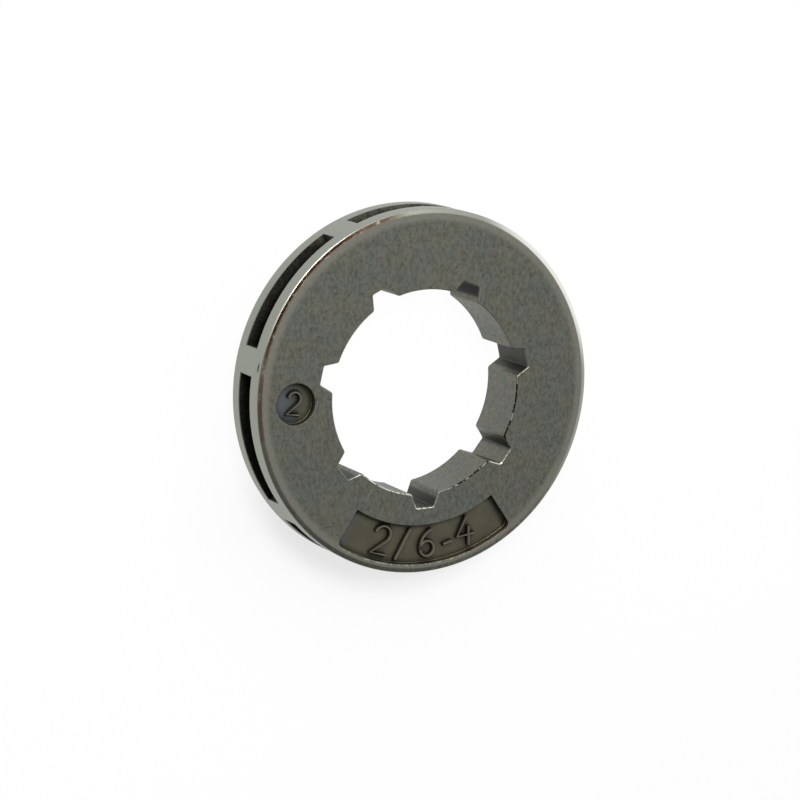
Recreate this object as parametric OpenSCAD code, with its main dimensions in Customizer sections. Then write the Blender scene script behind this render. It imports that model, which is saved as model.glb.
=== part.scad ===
// Seven-tooth rim sprocket for a saw chain, lying on its back face.
// The axis is Z. The origin is at the middle of the back face.
// The marked front face looks along +Z, and its panel lies towards -Y.

/* [Rims] */
// Outside diameter, where the side straps of the chain rest
outer_d = 37; // [35:0.1:50]
// Thickness of the front rim, which carries the sunk markings
front_rim_t = 2; // [1.2:0.1:4]
// Width of the slot between the rims, where the drive links run
slot_w = 2.5; // [1.3:0.1:4]
// Thickness of the plain back rim
back_rim_t = 1.6; // [1:0.1:4]
// Width of the shallow bevel round both outer edges, seen on the face
outer_bevel_w = 0.45; // [0.1:0.05:0.7]
// Drop of that bevel from the face to the outside wall
outer_bevel_drop = 0.15; // [0.05:0.01:0.5]

/* [Teeth] */
// Number of teeth, with a window between each two
teeth = 7; // [6:1:10]
// Width of a tooth at the outside diameter
tooth_w = 2.8; // [2:0.1:4]
// Depth of the windows, from the outside diameter to their floor
window_depth = 5.1; // [3.6:0.1:6]
// Angle that each tooth flank leans from its window's centre line
flank_lean = 33; // [15:1:36]
// Radius in the bottom corners of a window
window_corner_r = 2; // [0.5:0.1:2.5]

/* [Splined bore] */
// Diameter across the lands of the bore
bore_d = 20.8; // [19:0.1:22]
// Diameter at the floors of the spline notches
notch_d = 23.7; // [23:0.1:25]
// Number of notches
notches = 7; // [5:1:9]
// Width of a notch at its mouth
notch_mouth_w = 3; // [2.4:0.1:4]
// Width of a notch at its floor
notch_floor_w = 1.9; // [1.2:0.1:2.3]
// Radius where a notch runs out into the bore
notch_lip_r = 0.35; // [0.1:0.05:0.5]
// Radius in the floor corners of a notch
notch_corner_r = 0.2; // [0.05:0.05:0.4]
// Chamfer round the lands at both faces
bore_chamfer = 0.15; // [0.05:0.05:0.4]

/* [Sunk markings] */
// Depth of the panel and the round spot
mark_depth = 0.7; // [0.2:0.1:1]
// Width of the lip between the panel and the outside diameter
panel_lip = 0.85; // [0.8:0.05:1.5]
// Width of the panel, from its lip inwards
panel_w = 4.05; // [2:0.05:5]
// Angle that the panel spans round the axis
panel_span = 68; // [30:1:120]
// Radius of the two outer corners of the panel
panel_corner_r = 0.6; // [0.1:0.1:1.5]
// Diameter of the round spot
spot_d = 4.2; // [2:0.1:5]
// Width of the lip between the spot and the outside diameter
spot_lip = 2; // [1:0.1:3]

/* [Hidden] */

$fn = 180;
overcut = 1;
hair = 0.0005;

outer_r = outer_d / 2;
rim_w = front_rim_t + slot_w + back_rim_t;

// A window and its middle line are laid out along +X, then turned into place
tooth_pitch = 360 / teeth;
window_angle = 90;
window_half = tooth_pitch / 2 - asin(tooth_w / outer_d);
window_top = [outer_r * cos(window_half), outer_r * sin(window_half)];
window_floor_x = outer_r - window_depth;
window_floor_y = window_top[1] - (window_top[0] - window_floor_x) * tan(flank_lean);

// A notch is centred below the tooth that stands opposite the first window
notch_pitch = 360 / notches;
notch_angle = window_angle + 180;
bore_r = bore_d / 2;
notch_floor_x = sqrt(pow(notch_d / 2, 2) - pow(notch_floor_w / 2, 2));
notch_mouth_x = sqrt(pow(bore_r, 2) - pow(notch_mouth_w / 2, 2));
notch_lean = atan((notch_mouth_w - notch_floor_w) / 2 / (notch_floor_x - notch_mouth_x));

panel_angle = 270;
panel_outer_r = outer_r - panel_lip;
panel_inner_r = panel_outer_r - panel_w;
spot_angle = 180;
spot_centre_r = outer_r - spot_lip - spot_d / 2;

// Point at a distance and an angle from the axis
function polar(r, angle) = [r * cos(angle), r * sin(angle)];

// What lies between a corner and the round of radius r that eases it.
// The round is larger by a hair, so that it crosses both sides and doesn't graze them.
module corner_patch(centre, from, corner, to, r) {
    past_corner = centre + 1.5 * (corner - centre);
    difference() {
        polygon([centre, from, past_corner, to]);
        translate(centre) circle(r = r + hair);
    }
}

// Section of the plain ring, with both outer edges bevelled
module ring_section() {
    face_r = outer_r - outer_bevel_w;
    polygon([
        [bore_r - overcut, 0],
        [face_r, 0],
        [outer_r, outer_bevel_drop],
        [outer_r, rim_w - outer_bevel_drop],
        [face_r, rim_w],
        [bore_r - overcut, rim_w]
    ]);
}

// Outline of a window, a gullet with leaning flanks and round bottom corners
module window_outline() {
    lean_half = (90 - flank_lean) / 2;
    run = window_corner_r * tan(lean_half);
    floor_y = window_floor_y;
    reach = (outer_r + overcut - window_floor_x) * tan(flank_lean);
    difference() {
        polygon([
            [window_floor_x, -floor_y],
            [outer_r + overcut, -floor_y - reach],
            [outer_r + overcut, floor_y + reach],
            [window_floor_x, floor_y]
        ]);
        for (side = [-1, 1]) {
            corner_patch(
                [window_floor_x + window_corner_r, side * (floor_y - run)],
                [window_floor_x, side * (floor_y - run)],
                [window_floor_x, side * floor_y],
                [window_floor_x + run * cos(flank_lean), side * (floor_y + run * sin(flank_lean))],
                window_corner_r
            );
        }
    }
}

// Outline of one notch, open towards the axis, with its floor corners rounded
module notch_outline() {
    corner_half = (90 - notch_lean) / 2;
    run = notch_corner_r * tan(corner_half);
    floor_y = notch_floor_w / 2;
    start_x = notch_mouth_x - overcut;
    start_y = notch_mouth_w / 2 + overcut * tan(notch_lean);
    difference() {
        polygon([
            [start_x, -start_y],
            [notch_floor_x, -floor_y],
            [notch_floor_x, floor_y],
            [start_x, start_y]
        ]);
        for (side = [-1, 1]) {
            corner_patch(
                [notch_floor_x - notch_corner_r, side * (floor_y - run)],
                [notch_floor_x, side * (floor_y - run)],
                [notch_floor_x, side * floor_y],
                [notch_floor_x - run * cos(notch_lean), side * (floor_y + run * sin(notch_lean))],
                notch_corner_r
            );
        }
    }
}

// Rounds where both flanks of a notch run out into the bore
module notch_lips() {
    // The centre of each round lies notch_lip_r off the flank and off the bore's wall
    centre_r = bore_r + notch_lip_r;
    flank_off = notch_mouth_w / 2 * cos(notch_lean) + notch_mouth_x * sin(notch_lean);
    lip_angle = asin((flank_off + notch_lip_r) / centre_r) - notch_lean;
    centre = polar(centre_r, lip_angle);
    on_flank = centre - notch_lip_r * [sin(notch_lean), cos(notch_lean)];
    for (side = [0, 1]) {
        mirror([0, side, 0])
            corner_patch(
                centre,
                on_flank,
                [notch_mouth_x, notch_mouth_w / 2],
                polar(bore_r, lip_angle),
                notch_lip_r
            );
    }
}

// Outline of the bore: round between the notches
module bore_outline() {
    circle(r = bore_r);
    for (i = [0 : notches - 1]) {
        rotate(notch_angle + i * notch_pitch) {
            notch_outline();
            notch_lips();
        }
    }
}

// Outline of the sunk panel, part of a ring with its outer corners rounded
module panel_outline() {
    half = panel_span / 2;
    centre_r = panel_outer_r - panel_corner_r;
    round_angle = half - asin(panel_corner_r / centre_r);
    far_r = panel_outer_r / cos(half / 2) + overcut;
    difference() {
        intersection() {
            difference() {
                circle(r = panel_outer_r);
                circle(r = panel_inner_r);
            }
            polygon([
                [0, 0],
                polar(far_r, -half),
                polar(far_r, 0),
                polar(far_r, half)
            ]);
        }
        for (side = [0, 1]) {
            mirror([0, side, 0])
                corner_patch(
                    polar(centre_r, round_angle),
                    polar(centre_r * cos(half - round_angle), half),
                    polar(panel_outer_r, half),
                    polar(panel_outer_r, round_angle),
                    panel_corner_r
                );
        }
    }
}

// All the windows, cut in from the outside between the two rims
module windows() {
    translate([0, 0, back_rim_t])
        linear_extrude(slot_w)
            for (i = [0 : teeth - 1]) {
                rotate(window_angle + i * tooth_pitch) window_outline();
            }
}

// The splined bore, right through, with its lands chamfered at both faces
module splined_bore() {
    translate([0, 0, -overcut]) linear_extrude(rim_w + 2 * overcut) bore_outline();
    cylinder(r1 = bore_r + bore_chamfer, r2 = bore_r, h = bore_chamfer);
    translate([0, 0, rim_w - bore_chamfer])
        cylinder(r1 = bore_r, r2 = bore_r + bore_chamfer, h = bore_chamfer);
}

// The panel and the spot, sunk into the front face
module sunk_markings() {
    translate([0, 0, rim_w - mark_depth])
        linear_extrude(mark_depth + overcut) {
            rotate(panel_angle) panel_outline();
            translate(polar(spot_centre_r, spot_angle)) circle(d = spot_d);
        }
}

module drive_sprocket() {
    color("gray")
        difference() {
            rotate_extrude() ring_section();
            splined_bore();
            windows();
            sunk_markings();
        }
}

drive_sprocket();
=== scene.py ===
import math

import bmesh
import bpy
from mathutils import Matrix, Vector


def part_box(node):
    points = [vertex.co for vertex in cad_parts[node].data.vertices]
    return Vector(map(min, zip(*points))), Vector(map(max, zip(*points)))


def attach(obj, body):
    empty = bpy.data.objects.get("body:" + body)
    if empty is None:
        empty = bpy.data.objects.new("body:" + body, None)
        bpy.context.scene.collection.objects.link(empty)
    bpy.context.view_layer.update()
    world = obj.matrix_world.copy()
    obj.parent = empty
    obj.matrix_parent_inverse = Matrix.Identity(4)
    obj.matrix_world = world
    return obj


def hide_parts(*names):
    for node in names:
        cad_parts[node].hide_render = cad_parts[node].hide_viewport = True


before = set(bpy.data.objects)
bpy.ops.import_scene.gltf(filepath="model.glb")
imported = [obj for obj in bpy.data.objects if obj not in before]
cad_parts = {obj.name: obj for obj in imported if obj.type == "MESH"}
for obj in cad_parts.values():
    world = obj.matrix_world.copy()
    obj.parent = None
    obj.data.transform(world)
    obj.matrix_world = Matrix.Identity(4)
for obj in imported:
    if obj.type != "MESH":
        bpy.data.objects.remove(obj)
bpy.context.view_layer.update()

mm = 0.001  # the script works in metres, and its sizes are written in millimetres
nodeName = "drive_sprocket"
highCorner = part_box(nodeName)[1]
outerR = highCorner.x
faceZ = highCorner.z
toothPitch = math.radians(360 / 7)
hairline = 0.002 * mm


# Drawing by hand: a first point, lines and arcs from it, then a solid


def pickOnly(*objects):
    bpy.ops.object.select_all(action="DESELECT")
    for obj in objects:
        obj.select_set(True)
    bpy.context.view_layer.objects.active = objects[0]


def startOutline(name, point):
    bpy.ops.object.select_all(action="DESELECT")
    bpy.ops.mesh.primitive_plane_add(size=mm)
    outline = bpy.context.object
    outline.name = outline.data.name = name
    bpy.ops.object.mode_set(mode="EDIT")
    bpy.ops.mesh.select_mode(type="VERT")
    bpy.ops.mesh.select_all(action="SELECT")
    bpy.ops.mesh.merge(type="CENTER")
    bpy.ops.transform.translate(value=point)
    return outline


def lineBy(x, y, z=0):
    bpy.ops.mesh.extrude_region_move(TRANSFORM_OT_translate={"value": (x, y, z)})


def arcRound(centre, degrees, steps, axis=(0, 0, 1)):  # the spin tool turns clockwise
    bpy.ops.mesh.spin(steps=steps, angle=-math.radians(degrees), center=centre, axis=axis)


def closeDoubles():
    bpy.ops.mesh.select_all(action="SELECT")
    bpy.ops.mesh.remove_doubles(threshold=hairline)


def mirrorOutline(outline):
    bpy.ops.object.mode_set(mode="OBJECT")
    mirror = outline.modifiers.new("otherHalf", "MIRROR")
    mirror.use_axis = (False, True, False)
    mirror.merge_threshold = hairline
    bpy.ops.object.modifier_apply(modifier=mirror.name)
    bpy.ops.object.mode_set(mode="EDIT")
    closeDoubles()


def turnAll(degrees):
    bpy.ops.mesh.select_all(action="SELECT")
    bpy.ops.transform.rotate(
        value=-math.radians(degrees), orient_axis="Z", center_override=(0, 0, 0)
    )


def raiseOutline(height):
    closeDoubles()
    bpy.ops.mesh.edge_face_add()
    lineBy(0, 0, height)
    bpy.ops.mesh.select_all(action="SELECT")
    bpy.ops.mesh.normals_make_consistent(inside=False)
    bpy.ops.object.mode_set(mode="OBJECT")


def cutWith(piece, cutter):
    pickOnly(piece)
    cut = piece.modifiers.new("cut", "BOOLEAN")
    cut.operation = "DIFFERENCE"
    cut.solver = "EXACT"
    cut.object = cutter
    bpy.ops.object.modifier_apply(modifier=cut.name)
    bpy.data.objects.remove(cutter)


def pickEdges(piece, test):
    bpy.ops.mesh.select_mode(type="EDGE")
    bpy.ops.mesh.select_all(action="DESELECT")
    mesh = bmesh.from_edit_mesh(piece.data)
    for edge in mesh.edges:
        edge.select_set(test(edge))
    mesh.select_flush_mode()
    bmesh.update_edit_mesh(piece.data)
    return sum(edge.select for edge in mesh.edges)


def isCorner(edge, least=20):
    return len(edge.link_faces) == 2 and edge.calc_face_angle(0) > math.radians(least)


def easeEdges(piece, width, steps, test, least=20):
    count = pickEdges(
        piece, lambda edge: isCorner(edge, least) and test(*[v.co for v in edge.verts])
    )
    if count:
        bpy.ops.mesh.bevel(offset=width, segments=steps, affect="EDGES", clamp_overlap=True)
    print("eased", count, "edges by", round(width / mm, 3), "mm")


def flatR(point):
    return math.hypot(point.x, point.y)


def atHeight(z, *points):
    return all(abs(point.z - z) < hairline for point in points)


# The camera stands where the photograph was taken from, high over the ring and to its left


camera = {
    "place": (-0.135689, 0.056394, 0.262589),
    "turn": (-11.3402, -27.2897, 0.42),
    "lens": 133.0,
}
bpy.ops.object.select_all(action="DESELECT")
bpy.ops.object.camera_add(
    location=camera["place"], rotation=[math.radians(angle) for angle in camera["turn"]]
)
viewer = bpy.context.object
viewer.name = "camera"
viewer.data.lens = camera["lens"]
viewer.data.sensor_width = 36
viewer.data.clip_start = 0.01
viewer.data.clip_end = 20
bpy.context.scene.camera = viewer
print("camera placed")


# The ring's body


body = {
    "turnSteps": 280,
    "edgeWidth": 0.45 * mm,
    "edgeDrop": 0.15 * mm,
    "edgeEase": 0.06 * mm,
    "slotLow": 1.6 * mm,
    "slotHigh": 4.1 * mm,
    "boreEase": 0.13 * mm,
    "slotEase": 0.07 * mm,
}

flatEnd = outerR - body["edgeWidth"]
ring = startOutline("sprocketBody", (0, 0, 0))
lineBy(flatEnd, 0)
lineBy(body["edgeWidth"], 0, body["edgeDrop"])
lineBy(0, 0, faceZ - 2 * body["edgeDrop"])
lineBy(-body["edgeWidth"], 0, body["edgeDrop"])
lineBy(-flatEnd, 0)
closeDoubles()
bpy.ops.mesh.spin(
    steps=body["turnSteps"], angle=math.radians(360), center=(0, 0, 0), axis=(0, 0, 1)
)
closeDoubles()
bpy.ops.mesh.normals_make_consistent(inside=False)
easeEdges(
    ring,
    body["edgeEase"],
    3,
    lambda a, b: min(flatR(a), flatR(b)) > flatEnd - hairline and abs(a.z - b.z) < hairline,
    5,
)
bpy.ops.object.mode_set(mode="OBJECT")
print("disc turned", len(ring.data.polygons))


# One seventh of the bore is drawn, half a notch and half a land, and then repeated


bore = {
    "landR": 10.4 * mm,
    "notchR": 11.85 * mm,
    "floorHalf": 0.95 * mm,
    "mouthHalf": 1.5 * mm,
    "floorCorner": 0.2 * mm,
    "lipRound": 0.35 * mm,
}

floorX = math.sqrt(bore["notchR"] ** 2 - bore["floorHalf"] ** 2)
mouthX = math.sqrt(bore["landR"] ** 2 - bore["mouthHalf"] ** 2)
lean = math.atan((bore["mouthHalf"] - bore["floorHalf"]) / (floorX - mouthX))
cornerRun = bore["floorCorner"] * math.tan((math.radians(90) - lean) / 2)
lipR = bore["landR"] + bore["lipRound"]
flankOff = bore["mouthHalf"] * math.cos(lean) + mouthX * math.sin(lean)
lipAngle = math.asin((flankOff + bore["lipRound"]) / lipR) - lean
lipCentre = Vector((lipR * math.cos(lipAngle), lipR * math.sin(lipAngle), -mm))
lipStart = lipCentre - bore["lipRound"] * Vector((math.sin(lean), math.cos(lean), 0))
cornerCentre = Vector((floorX - bore["floorCorner"], bore["floorHalf"] - cornerRun, -mm))
cornerEnd = cornerCentre + bore["floorCorner"] * Vector((math.sin(lean), math.cos(lean), 0))

splines = startOutline("splineCutter", (floorX, 0, -mm))
lineBy(0, cornerCentre.y)
arcRound(cornerCentre, 90 - math.degrees(lean), 4)
lineBy(lipStart.x - cornerEnd.x, lipStart.y - cornerEnd.y)
arcRound(lipCentre, math.degrees(lean + lipAngle) - 90, 5)
arcRound((0, 0, -mm), math.degrees(toothPitch / 2 - lipAngle), 10)
mirrorOutline(splines)
turnAll(-90)
bpy.ops.mesh.select_all(action="SELECT")
bpy.ops.mesh.spin(
    dupli=True, steps=6, angle=6 * toothPitch, center=(0, 0, 0), axis=(0, 0, 1)
)
raiseOutline(faceZ + 2 * mm)
print("spline cutter", len(splines.data.polygons))
cutWith(ring, splines)


# The seven windows that the chain's drive links drop into


window = {
    "floorX": 13.4 * mm,
    "toothWidth": 2.8 * mm,
    "lean": 33,
    "floorCorner": 2 * mm,
    "overcut": 1 * mm,
}

windowLean = math.radians(window["lean"])
topAngle = toothPitch / 2 - math.asin(window["toothWidth"] / 2 / outerR)
topX = outerR * math.cos(topAngle)
floorY = outerR * math.sin(topAngle) - (topX - window["floorX"]) * math.tan(windowLean)
run = window["floorCorner"] * math.tan((math.radians(90) - windowLean) / 2)
reach = outerR + window["overcut"] - window["floorX"] - run * math.cos(windowLean)

gullets = startOutline("windowCutter", (window["floorX"], 0, body["slotLow"]))
lineBy(0, floorY - run)
arcRound(
    (window["floorX"] + window["floorCorner"], floorY - run, body["slotLow"]),
    window["lean"] - 90,
    8,
)
lineBy(reach, reach * math.tan(windowLean))
mirrorOutline(gullets)
turnAll(90)
raiseOutline(body["slotHigh"] - body["slotLow"])
bpy.ops.object.mode_set(mode="EDIT")
bpy.ops.mesh.select_all(action="SELECT")
bpy.ops.mesh.spin(
    dupli=True, steps=6, angle=6 * toothPitch, center=(0, 0, 0), axis=(0, 0, 1)
)
bpy.ops.object.mode_set(mode="OBJECT")
print("window cutter", len(gullets.data.polygons))
cutWith(ring, gullets)


# The sunk panel at the bottom of the face, and the round spot at its left


marks = {
    "floorZ": faceZ - 0.7 * mm,
    "panelInnerR": 13.6 * mm,
    "panelOuterR": 17.65 * mm,
    "panelHalf": 34,
    "panelCorner": 0.6 * mm,
    "spotX": -14.4 * mm,
    "spotR": 2.1 * mm,
    "rimEase": 0.08 * mm,
    "floorEase": 0.14 * mm,
}

cornerR = marks["panelOuterR"] - marks["panelCorner"]
roundAngle = marks["panelHalf"] - math.degrees(math.asin(marks["panelCorner"] / cornerR))
sideAngle = math.radians(marks["panelHalf"])
sideRun = cornerR * math.cos(math.radians(marks["panelHalf"] - roundAngle)) - marks["panelInnerR"]
roundCentre = (
    cornerR * math.cos(math.radians(roundAngle)),
    cornerR * math.sin(math.radians(roundAngle)),
    marks["floorZ"],
)

panel = startOutline("panelCutter", (marks["panelInnerR"], 0, marks["floorZ"]))
arcRound((0, 0, marks["floorZ"]), marks["panelHalf"], 20)
lineBy(sideRun * math.cos(sideAngle), sideRun * math.sin(sideAngle))
arcRound(roundCentre, roundAngle - 90 - marks["panelHalf"], 6)
arcRound((0, 0, marks["floorZ"]), -roundAngle, 24)
mirrorOutline(panel)
turnAll(-90)
raiseOutline(2 * mm)
print("panel cutter", len(panel.data.polygons))
cutWith(ring, panel)

bpy.ops.object.select_all(action="DESELECT")
bpy.ops.mesh.primitive_cylinder_add(
    vertices=72,
    radius=marks["spotR"],
    depth=2 * mm,
    location=(marks["spotX"], 0, marks["floorZ"] + mm),
)
cutWith(ring, bpy.context.object)


# Flat parts become whole faces again, then each kind of edge is eased


pickOnly(ring)
bpy.ops.object.mode_set(mode="EDIT")
closeDoubles()
bpy.ops.mesh.dissolve_limited(angle_limit=math.radians(0.3))
easeEdges(
    ring,
    body["boreEase"],
    3,
    lambda a, b: max(flatR(a), flatR(b)) < 12 * mm
    and (atHeight(faceZ, a, b) or atHeight(0, a, b)),
)
easeEdges(
    ring,
    marks["rimEase"],
    2,
    lambda a, b: atHeight(faceZ, a, b) and min(flatR(a), flatR(b)) > 12 * mm,
)
easeEdges(
    ring,
    marks["floorEase"],
    3,
    lambda a, b: atHeight(marks["floorZ"], a, b),
)
easeEdges(
    ring,
    body["slotEase"],
    1,
    lambda a, b: min(flatR(a), flatR(b)) > outerR - 0.05 * mm
    and body["slotLow"] - hairline < min(a.z, b.z)
    and max(a.z, b.z) < body["slotHigh"] + hairline,
)
closeDoubles()
bpy.ops.mesh.normals_make_consistent(inside=False)
bpy.ops.object.mode_set(mode="OBJECT")
bpy.ops.object.shade_smooth_by_angle(angle=math.radians(35))
even = ring.modifiers.new("evenShading", "WEIGHTED_NORMAL")
even.keep_sharp = True
bpy.ops.object.modifier_apply(modifier=even.name)
print("body cut and eased", len(ring.data.polygons))

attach(ring, "root")
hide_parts(nodeName)


# Raised numerals: centre lines drawn flat, given a round bead, and set down on the sunk floors


numerals = {
    "bead": 0.22 * mm,
    "height": 0.42 * mm,
    "textR": 15.52 * mm,
    "panelTurns": (-17.7, 1.6),
    "spotTurn": -8,
    "spotScale": 0.78,
}


def strokeAt(*points):
    stroke = startOutline("stroke", (*[value * mm for value in points[0]], 0))
    for start, end in zip(points, points[1:]):
        lineBy((end[0] - start[0]) * mm, (end[1] - start[1]) * mm)
    return stroke


def drawTwo():
    stroke = strokeAt((-0.84, 0.75))
    arcRound((0, 0.62 * mm, 0), -210, 16)
    lineBy(-1.54 * mm, -1.5 * mm)
    lineBy(1.78 * mm, 0)
    bpy.ops.object.mode_set(mode="OBJECT")
    return [stroke]


def drawSix():
    spine = strokeAt((-0.78, -0.68))
    arcRound((1.32 * mm, -0.68 * mm, 0), -68, 10)
    bpy.ops.object.mode_set(mode="OBJECT")
    loop = strokeAt((-0.78, -0.68))
    arcRound((0, -0.68 * mm, 0), 360, 24)
    closeDoubles()
    bpy.ops.object.mode_set(mode="OBJECT")
    return [spine, loop]


def drawStroke(*points):
    stroke = strokeAt(*points)
    bpy.ops.object.mode_set(mode="OBJECT")
    return [stroke]


def setDown(strokes, place, degrees, scale=1):
    pickOnly(*strokes)
    bpy.ops.object.convert(target="CURVE")
    for stroke in strokes:
        stroke.data.dimensions = "3D"
        stroke.data.bevel_depth = numerals["bead"] / scale
        stroke.data.bevel_resolution = 3
        stroke.data.use_fill_caps = True
    pickOnly(*strokes)
    bpy.ops.object.convert(target="MESH")
    for stroke in strokes:
        stroke.scale = (scale, scale, numerals["height"] / numerals["bead"] * scale)
        stroke.rotation_euler = (0, 0, math.radians(degrees))
        stroke.location = place
    return strokes


def onArc(degrees, radius=numerals["textR"]):
    angle = math.radians(degrees - 90)
    return (radius * math.cos(angle), radius * math.sin(angle), marks["floorZ"])


firstTurn, secondTurn = numerals["panelTurns"]
beads = setDown(drawTwo(), onArc(firstTurn), firstTurn)
beads += setDown(drawSix(), onArc(secondTurn), secondTurn)
beads += setDown(
    drawStroke((-3.2, -16.95), (-1.45, -13.95)) + drawStroke((2.3, -15.95), (3.3, -15.7)),
    (0, 0, marks["floorZ"]),
    0,
)
beads += setDown(
    drawStroke((4.9, -13.3), (3.9, -15.35), (5.9, -15.15)) + drawStroke((5.2, -14.3), (5.25, -16.3)),
    (0, 0, marks["floorZ"]),
    0,
)
beads += setDown(
    drawTwo(), (marks["spotX"], 0, marks["floorZ"]), numerals["spotTurn"], numerals["spotScale"]
)
pickOnly(*beads)
bpy.ops.object.join()
raised = bpy.context.object
raised.name = raised.data.name = "raisedNumerals"
bpy.ops.object.transform_apply(location=True, rotation=True, scale=True)
bpy.ops.object.mode_set(mode="EDIT")
closeDoubles()
bpy.ops.mesh.normals_make_consistent(inside=False)
bpy.ops.object.mode_set(mode="OBJECT")
bpy.ops.object.shade_smooth_by_angle(angle=math.radians(50))
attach(raised, "root")
print("numerals set down", len(raised.data.polygons))


# Finishes


def hexColour(code):
    channels = [int(code[i : i + 2], 16) / 255 for i in (1, 3, 5)]
    return (*[c / 12.92 if c <= 0.04045 else ((c + 0.055) / 1.055) ** 2.4 for c in channels], 1)


def firstShown(sockets, name=None):
    return next(socket for socket in sockets if socket.enabled and name in (None, socket.name))


def addNode(tree, kind, settings, inputs):  # inputs are values, or the nodes and sockets to link
    node = tree.nodes.new("ShaderNode" + kind)
    for name, value in settings.items():
        setattr(node, name, value)
    for name, value in inputs.items():
        socket = node.inputs[name] if isinstance(name, int) else firstShown(node.inputs, name)
        if isinstance(value, bpy.types.Node):
            tree.links.new(firstShown(value.outputs), socket)
        elif isinstance(value, bpy.types.NodeSocket):
            tree.links.new(value, socket)
        else:
            socket.default_value = value
    return node


def newTree(owner):
    owner.use_nodes = True
    owner.node_tree.nodes.clear()
    return owner.node_tree


def spread(steel, value, low, high, start=0.0, end=1.0):  # start up to low, end from high on
    return addNode(
        steel["tree"],
        "MapRange",
        {"interpolation_type": "SMOOTHSTEP"},
        {"Value": value, "From Min": low, "From Max": high, "To Min": start, "To Max": end},
    )


def times(steel, *shares):
    share = shares[0]
    for other in shares[1:]:
        share = addNode(steel["tree"], "Math", {"operation": "MULTIPLY"}, {0: share, 1: other})
    return share


def band(steel, value, start, full, end, gone):  # 0 before start, 1 from full to end, 0 when gone
    return times(steel, spread(steel, value, start, full), spread(steel, value, gone, end))


def speckle(steel, width, low, high):
    noise = addNode(
        steel["tree"], "TexNoise", {}, {"Vector": steel["place"], "Scale": 1 / width, "Detail": 2}
    )
    return spread(steel, noise, low, high)


def spotOn(steel, centre, halfSize, soft=0.5):  # 1 in the middle of a small oval, 0 past its rim
    tree = steel["tree"]
    off = addNode(tree, "VectorMath", {"operation": "SUBTRACT"}, {0: steel["place"], 1: centre})
    part = addNode(tree, "VectorMath", {"operation": "DIVIDE"}, {0: off, 1: halfSize})
    reach = addNode(tree, "VectorMath", {"operation": "LENGTH"}, {0: part})
    return spread(steel, reach.outputs["Value"], 1, soft)


def cornerShade(steel, reach, open, shut):  # painted shade: darker where walls stand close by
    hidden = addNode(
        steel["tree"], "AmbientOcclusion", {"samples": 6}, {"Distance": reach * mm}
    )
    return spread(steel, hidden.outputs["AO"], open, shut)


def startSteel(name, look):
    material = bpy.data.materials.new(name)
    tree = newTree(material)
    coords = addNode(tree, "TexCoord", {}, {})
    place = addNode(
        tree, "VectorMath", {"operation": "SCALE"}, {0: coords.outputs["Object"], "Scale": 1000}
    )  # from here on all sizes are in millimetres
    axes = addNode(tree, "SeparateXYZ", {}, {0: place})
    x, y, z = [axes.outputs[axis] for axis in "XYZ"]
    flat = addNode(tree, "VectorMath", {"operation": "MULTIPLY"}, {0: place, 1: (1, 1, 0)})
    radius = addNode(tree, "VectorMath", {"operation": "LENGTH"}, {0: flat})
    angle = addNode(tree, "Math", {"operation": "ARCTAN2"}, {0: y, 1: x})
    degrees = addNode(tree, "Math", {"operation": "DEGREES"}, {0: angle})
    turn = addNode(tree, "Math", {"operation": "WRAP"}, {0: degrees, 1: 360.0, 2: 0.0})

    streaks = addNode(tree, "Mapping", {}, {"Vector": place, "Scale": (1, look["streak"], 1)})
    grain = addNode(
        tree,
        "TexNoise",
        {},
        {"Vector": streaks, "Scale": 1 / look["grainWidth"], "Detail": 3, "Roughness": 0.6},
    )
    clouds = addNode(
        tree, "TexNoise", {}, {"Vector": place, "Scale": 1 / look["cloudWidth"], "Detail": 4}
    )
    steel = {
        "material": material,
        "tree": tree,
        "place": place,
        "x": x,
        "y": y,
        "z": z,
        "radius": radius.outputs["Value"],
        "turn": turn,
    }
    tone = addNode(
        tree,
        "Mix",
        {"data_type": "RGBA"},
        {
            "Factor": spread(steel, clouds, 0.36, 0.64),
            "A": hexColour(look["colour"]),
            "B": hexColour(look["tint"]),
        },
    )
    steel["colour"] = addNode(
        tree,
        "Mix",
        {"data_type": "RGBA", "blend_type": "MULTIPLY"},
        {
            "Factor": 1.0,
            "A": tone,
            "B": spread(steel, grain, 0.28, 0.72, 1 - look["grainTone"], 1 + look["grainTone"]),
        },
    )
    rough = look["roughness"]
    steel["roughness"] = spread(steel, grain, 0.3, 0.7, rough + 0.06, rough - 0.06)
    steel["bump"] = addNode(
        tree,
        "Bump",
        {},
        {"Height": grain, "Strength": look["bump"], "Distance": look["grainDepth"] * mm},
    )
    return steel


def coat(steel, share, code, roughness=None):
    steel["colour"] = addNode(
        steel["tree"],
        "Mix",
        {"data_type": "RGBA"},
        {"Factor": share, "A": steel["colour"], "B": hexColour(code)},
    )
    if roughness is not None:
        steel["roughness"] = addNode(
            steel["tree"],
            "Mix",
            {"data_type": "FLOAT"},
            {"Factor": share, "A": steel["roughness"], "B": roughness},
        )


def finishSteel(steel):
    shader = addNode(
        steel["tree"],
        "BsdfPrincipled",
        {},
        {
            "Metallic": 1.0,
            "Base Color": steel["colour"],
            "Roughness": steel["roughness"],
            "Normal": steel["bump"],
        },
    )
    addNode(steel["tree"], "OutputMaterial", {}, {"Surface": shader})
    return steel["material"]


faceLook = {
    "colour": "#6F736B",
    "tint": "#747369",
    "cloudWidth": 2.6,
    "grainWidth": 0.3,
    "streak": 0.6,
    "grainTone": 0.28,
    "grainDepth": 0.03,
    "bump": 0.35,
    "roughness": 0.5,
}


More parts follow.
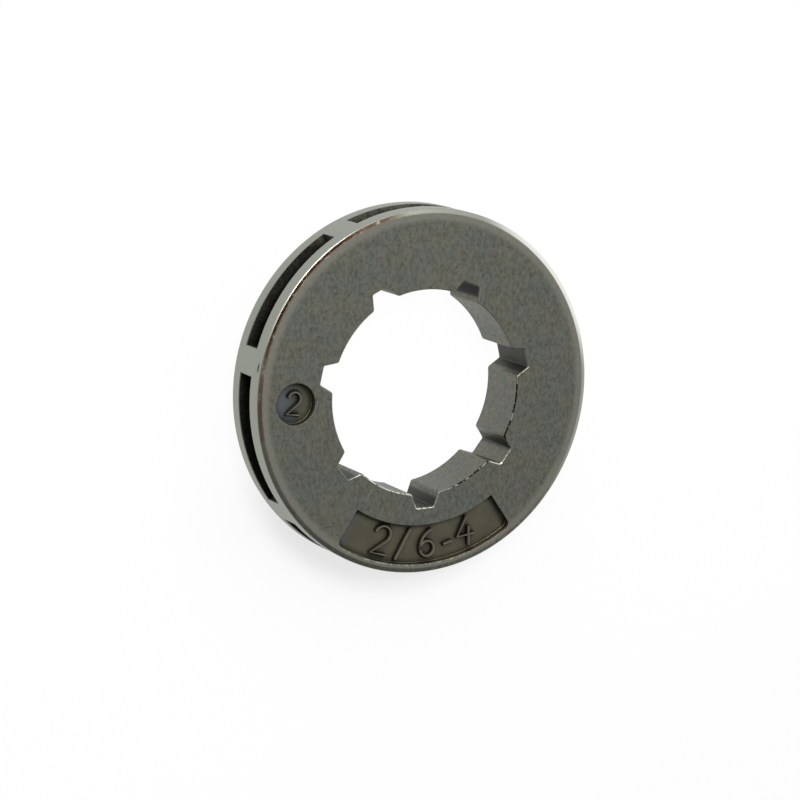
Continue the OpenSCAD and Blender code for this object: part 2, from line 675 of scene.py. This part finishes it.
def tumbledCastSteel():
    # Cast steel tumbled in stones: a dull olive grey with a fine grain, worn light along its lips
    steel = startSteel("tumbledCastSteel", faceLook)
    radius = steel["radius"]
    turn = steel["turn"]
    coat(steel, times(steel, speckle(steel, 0.35, 0.60, 0.72), 0.6), "#4E4F48")  # dark pores
    lipWear = times(steel, band(steel, radius, 17.0, 17.7, 17.98, 18.15), 0.45)
    coat(steel, lipWear, "#A5A397", 0.42)

    # The wall is smoother and lighter; the bevel above it is painted lighter on the right, partly worn
    # steel and partly a painted highlight that turns near white at the upper right
    coat(steel, spread(steel, radius, 18.40, 18.46), "#92968B", 0.4)
    toRight = addNode(
        steel["tree"], "VectorMath", {"operation": "DOT_PRODUCT"}, {0: steel["place"], 1: (0.8, 0.6, 0)}
    )
    bevel = band(steel, radius, 17.98, 18.12, 18.47, 18.5)
    highlightSide = toRight.outputs["Value"]
    coat(steel, times(steel, bevel, spread(steel, highlightSide, 0, 12)), "#A3A49A", 0.36)
    # painted highlight: the bevel near white at the upper right
    coat(steel, times(steel, bevel, spread(steel, highlightSide, 15, 18)), "#F1F2EA", 0.3)

    # Handling has left a brown stain on the left part of the bevel; the near-black line in it at the
    # upper left is painted shade, a painted dark reflection laid over the stain
    brown = times(
        steel, band(steel, radius, 17.95, 18.12, 18.38, 18.45), band(steel, turn, 92, 106, 180, 206)
    )
    coat(steel, times(steel, brown, speckle(steel, 0.7, 0.2, 0.5)), "#5A4B3E", 0.55)
    # painted shade: a near-black dark reflection along the upper-left bevel
    dark = times(
        steel, band(steel, radius, 18.12, 18.2, 18.37, 18.43), band(steel, turn, 106, 124, 156, 170)
    )
    coat(steel, times(steel, dark, speckle(steel, 0.5, 0.25, 0.5)), "#2C2019", 0.6)
    # painted highlight: a bright glint line where the wall meets the bevel at the upper left
    cornerGlint = times(steel, spread(steel, radius, 18.41, 18.45), spread(steel, steel["z"], 5.87, 5.92))
    coat(steel, times(steel, cornerGlint, band(steel, turn, 112, 125, 150, 166)), "#DEDFD3", 0.3)

    # painted shade: a small dark spot on the wall where there is a nick, the nick itself not modelled
    coat(steel, spotOn(steel, (-18.1, 3.8, 5.38), (0.5, 0.6, 0.2)), "#33342E", 0.6)  # a nick
    # Bright specks along the panel's lower lip: worn chips, painted bright as glints
    lipChipsAndGlints = times(
        steel, band(steel, radius, 17.58, 17.64, 17.76, 17.84), band(steel, turn, 236, 243, 278, 304)
    )
    coat(steel, times(steel, lipChipsAndGlints, speckle(steel, 0.4, 0.5, 0.62)), "#D2CDBB", 0.3)
    return finishSteel(steel)


boreLook = {
    "colour": "#6C7068",
    "tint": "#747269",
    "cloudWidth": 1.6,
    "grainWidth": 0.3,
    "streak": 0.8,
    "grainTone": 0.1,
    "grainDepth": 0.02,
    "bump": 0.2,
    "roughness": 0.5,
}


def castBoreScale():
    # The bore keeps its cast scale: smooth and grey on the lands; inside the notches it is darkened
    # with painted shade, deepest in the upper right notch and in the corners, except on one notch floor
    # left light as lit
    steel = startSteel("castBoreScale", boreLook)
    inNotch = spread(steel, steel["radius"], 10.75, 11.15)
    litNotchFloor = band(steel, steel["turn"], 314.0, 316.5, 324.0, 326.0)
    notchShade = addNode(steel["tree"], "Math", {"operation": "SUBTRACT"}, {0: inNotch, 1: litNotchFloor})
    notchShade.use_clamp = True
    coat(steel, times(steel, notchShade, 0.8), "#3F403B", 0.55)
    # painted shade, deeper in the upper right notch
    upper = times(steel, inNotch, band(steel, steel["turn"], 55, 59, 70, 74), 0.6)
    coat(steel, upper, "#20211D", 0.6)
    # painted shade in the corners
    coat(steel, times(steel, cornerShade(steel, 0.6, 0.75, 0.4), 0.6), "#25241F", 0.6)
    return finishSteel(steel)


def wornBoreEdge():
    # The bore's eased front edge is burnished by the hub, with a dark seam on the right-hand lands, and
    # painted highlights, glints, along its lower part and on one notch lip
    steel = startSteel("wornBoreEdge", faceLook)
    radius = steel["radius"]
    turn = steel["turn"]
    coat(steel, 0.35, "#A3A497", 0.42)
    onLand = spread(steel, radius, 10.95, 10.75)
    seam = times(steel, onLand, spread(steel, turn, 284, 290), speckle(steel, 0.6, 0.38, 0.5))
    coat(steel, seam, "#2A1F18", 0.6)
    # painted highlights: glints along the lower part of the bore's edge
    paintedGlints = times(
        steel,
        band(steel, turn, 224, 228, 273, 276),
        speckle(steel, 0.35, 0.42, 0.56),
    )
    coat(steel, paintedGlints, "#ECE9DD", 0.28)
    # painted highlight on one notch lip
    coat(steel, times(steel, band(steel, turn, 313, 314, 317, 318.5)), "#ECE9DD", 0.28)
    return finishSteel(steel)


slotLook = {
    "colour": "#34342F",
    "tint": "#3E3D36",
    "cloudWidth": 1.5,
    "grainWidth": 0.3,
    "streak": 1.0,
    "grainTone": 0.35,
    "grainDepth": 0.03,
    "bump": 0.6,
    "roughness": 0.7,
}


def slotScaleAndShade():
    # Dark scale inside the windows, painted near black as shade; the top one, open to view, is painted
    # lighter as lit, with painted light ridges
    steel = startSteel("slotScaleAndShade", slotLook)
    litTopWindow = spread(steel, steel["y"], 14.5, 16.5)
    coat(steel, litTopWindow, "#55564E", 0.5)
    coat(steel, times(steel, litTopWindow, speckle(steel, 0.45, 0.45, 0.6)), "#85867B", 0.4)
    return finishSteel(steel)


sunkLook = {
    "colour": "#6A685A",
    "tint": "#716D5D",
    "cloudWidth": 1.8,
    "grainWidth": 0.3,
    "streak": 0.35,
    "grainTone": 0.12,
    "grainDepth": 0.015,
    "bump": 0.25,
    "roughness": 0.42,
}


def sunkFloorPatina():
    # A brown patina on the sunk floors and numerals, with a painted bluish reflection at the left,
    # painted shade near black where walls stand close, and painted highlights on the tops of the
    # figures
    steel = startSteel("sunkFloorPatina", sunkLook)
    turn = steel["turn"]
    # painted reflection: bluish at the left of the panel and of the spot
    bluishReflection = times(steel, spread(steel, turn, 240.5, 236.5), spread(steel, turn, 220, 230))
    coat(steel, times(steel, bluishReflection, 0.8), "#6B7076")
    spotBluishReflection = times(
        steel, band(steel, turn, 150, 160, 200, 210), spread(steel, steel["x"], -13.2, -15.2)
    )
    coat(steel, times(steel, spotBluishReflection, 0.8), "#6F767C", 0.4)
    coat(steel, cornerShade(steel, 0.8, 0.95, 0.5), "#1F1D19", 0.6)
    coat(steel, spread(steel, steel["z"], 5.62, 5.74), "#8F8B7C", 0.36)  # painted highlight on the tops of the figures
    return finishSteel(steel)


def inPanel(centre):
    angle = math.degrees(math.atan2(centre.x, -centre.y))
    radial = marks["panelInnerR"] - 0.1 * mm < flatR(centre) < marks["panelOuterR"] + 0.1 * mm
    return radial and abs(angle) < marks["panelHalf"] + 0.5


def inSpot(centre):
    return math.hypot(centre.x - marks["spotX"], centre.y) < marks["spotR"] + 0.05 * mm


def finishOf(face):
    centre = face.center
    if flatR(centre) < 12.2 * mm and abs(face.normal.z) < 0.2:
        return 1
    if flatR(centre) < 12.2 * mm and 0.2 < face.normal.z < 0.98:
        return 4
    inSlot = body["slotLow"] - hairline < centre.z < body["slotHigh"] + hairline
    if inSlot and flatR(centre) < outerR - 0.06 * mm:
        return 2
    sunk = marks["floorZ"] - hairline < centre.z < faceZ - 0.02 * mm
    if sunk and (inPanel(centre) or inSpot(centre)):
        return 3
    return 0


pickOnly(ring)
ring.data.materials.clear()
sunkSteel = sunkFloorPatina()
for finish in (tumbledCastSteel(), castBoreScale(), slotScaleAndShade(), sunkSteel, wornBoreEdge()):
    ring.data.materials.append(finish)
for face in ring.data.polygons:
    face.material_index = finishOf(face)
raised.data.materials.clear()
raised.data.materials.append(sunkSteel)
print("finishes laid", [sum(face.material_index == i for face in ring.data.polygons) for i in range(5)])


# Floor, sky and lamp


stage = {
    "floorSize": 4,
    "floorColour": "#FAFAFA",
    "whiteShares": (0.98, 0.9, 0.72),
    "brightSide": (0.50, 0.62, -0.60),
    "skyLow": 0.3,
    "skyHigh": 1.15,
    "lampPlace": (-0.05, 0.25, 0.54),
    "lampSize": 0.22,
    "lampPower": 2.4,
}

bpy.ops.object.select_all(action="DESELECT")
bpy.ops.mesh.primitive_plane_add(size=stage["floorSize"], location=(0, 0, -0.02 * mm))
floor = bpy.context.object
floor.name = "floor"
paper = bpy.data.materials.new("whitePaper")
tree = newTree(paper)
# The paper glows white for camera and glossy rays, most inside the bore, less around the ring and least
# below it: painted light that hides the ring's shadow except below it
sheet = {"tree": tree}
inBore, around, below = stage["whiteShares"]
coords = addNode(tree, "TexCoord", {}, {})
axes = addNode(tree, "SeparateXYZ", {}, {0: coords.outputs["Object"]})
away = addNode(tree, "VectorMath", {"operation": "LENGTH"}, {0: coords.outputs["Object"]})
lowShare = spread(sheet, axes.outputs["Y"], -15 * mm, -5 * mm, below, around)
inside = spread(sheet, away.outputs["Value"], 16 * mm, 13 * mm)
share = addNode(
    tree, "Mix", {"data_type": "FLOAT"}, {"Factor": inside, "A": lowShare, "B": inBore}
)
path = addNode(tree, "LightPath", {}, {})
seen = addNode(
    tree,
    "Math",
    {"operation": "MAXIMUM"},
    {0: path.outputs["Is Camera Ray"], 1: path.outputs["Is Glossy Ray"]},
)
matt = addNode(tree, "BsdfDiffuse", {}, {"Color": hexColour(stage["floorColour"])})
glow = addNode(tree, "Emission", {}, {"Strength": 1.0})
both = addNode(tree, "MixShader", {}, {0: times(sheet, seen, share), 1: matt, 2: glow})
addNode(tree, "OutputMaterial", {}, {"Surface": both})
floor.data.materials.append(paper)

sky = bpy.data.worlds.new("studioSky")
bpy.context.scene.world = sky
tree = newTree(sky)
dome = {"tree": tree}
coords = addNode(tree, "TexCoord", {}, {})
facing = addNode(
    tree,
    "VectorMath",
    {"operation": "DOT_PRODUCT"},
    {0: coords.outputs["Generated"], 1: stage["brightSide"]},
)
soft = spread(dome, facing.outputs["Value"], -0.6, 0.1, stage["skyLow"], stage["skyHigh"])
path = addNode(tree, "LightPath", {}, {})
level = addNode(
    tree,
    "Mix",
    {"data_type": "FLOAT"},
    {"Factor": path.outputs["Is Camera Ray"], "A": soft, "B": 1.0},
)
glow = addNode(tree, "Background", {}, {"Strength": level})
addNode(tree, "OutputWorld", {}, {"Surface": glow})

lampPlace = Vector(stage["lampPlace"])
bpy.ops.object.light_add(type="AREA", location=lampPlace)
lamp = bpy.context.object
lamp.name = "softLamp"
lamp.data.shape = "SQUARE"
lamp.data.size = stage["lampSize"]
lamp.data.energy = stage["lampPower"]
lamp.rotation_euler = (-lampPlace).to_track_quat("-Z", "Y").to_euler()

bpy.context.scene.view_settings.view_transform = "Standard"
print("stage set")
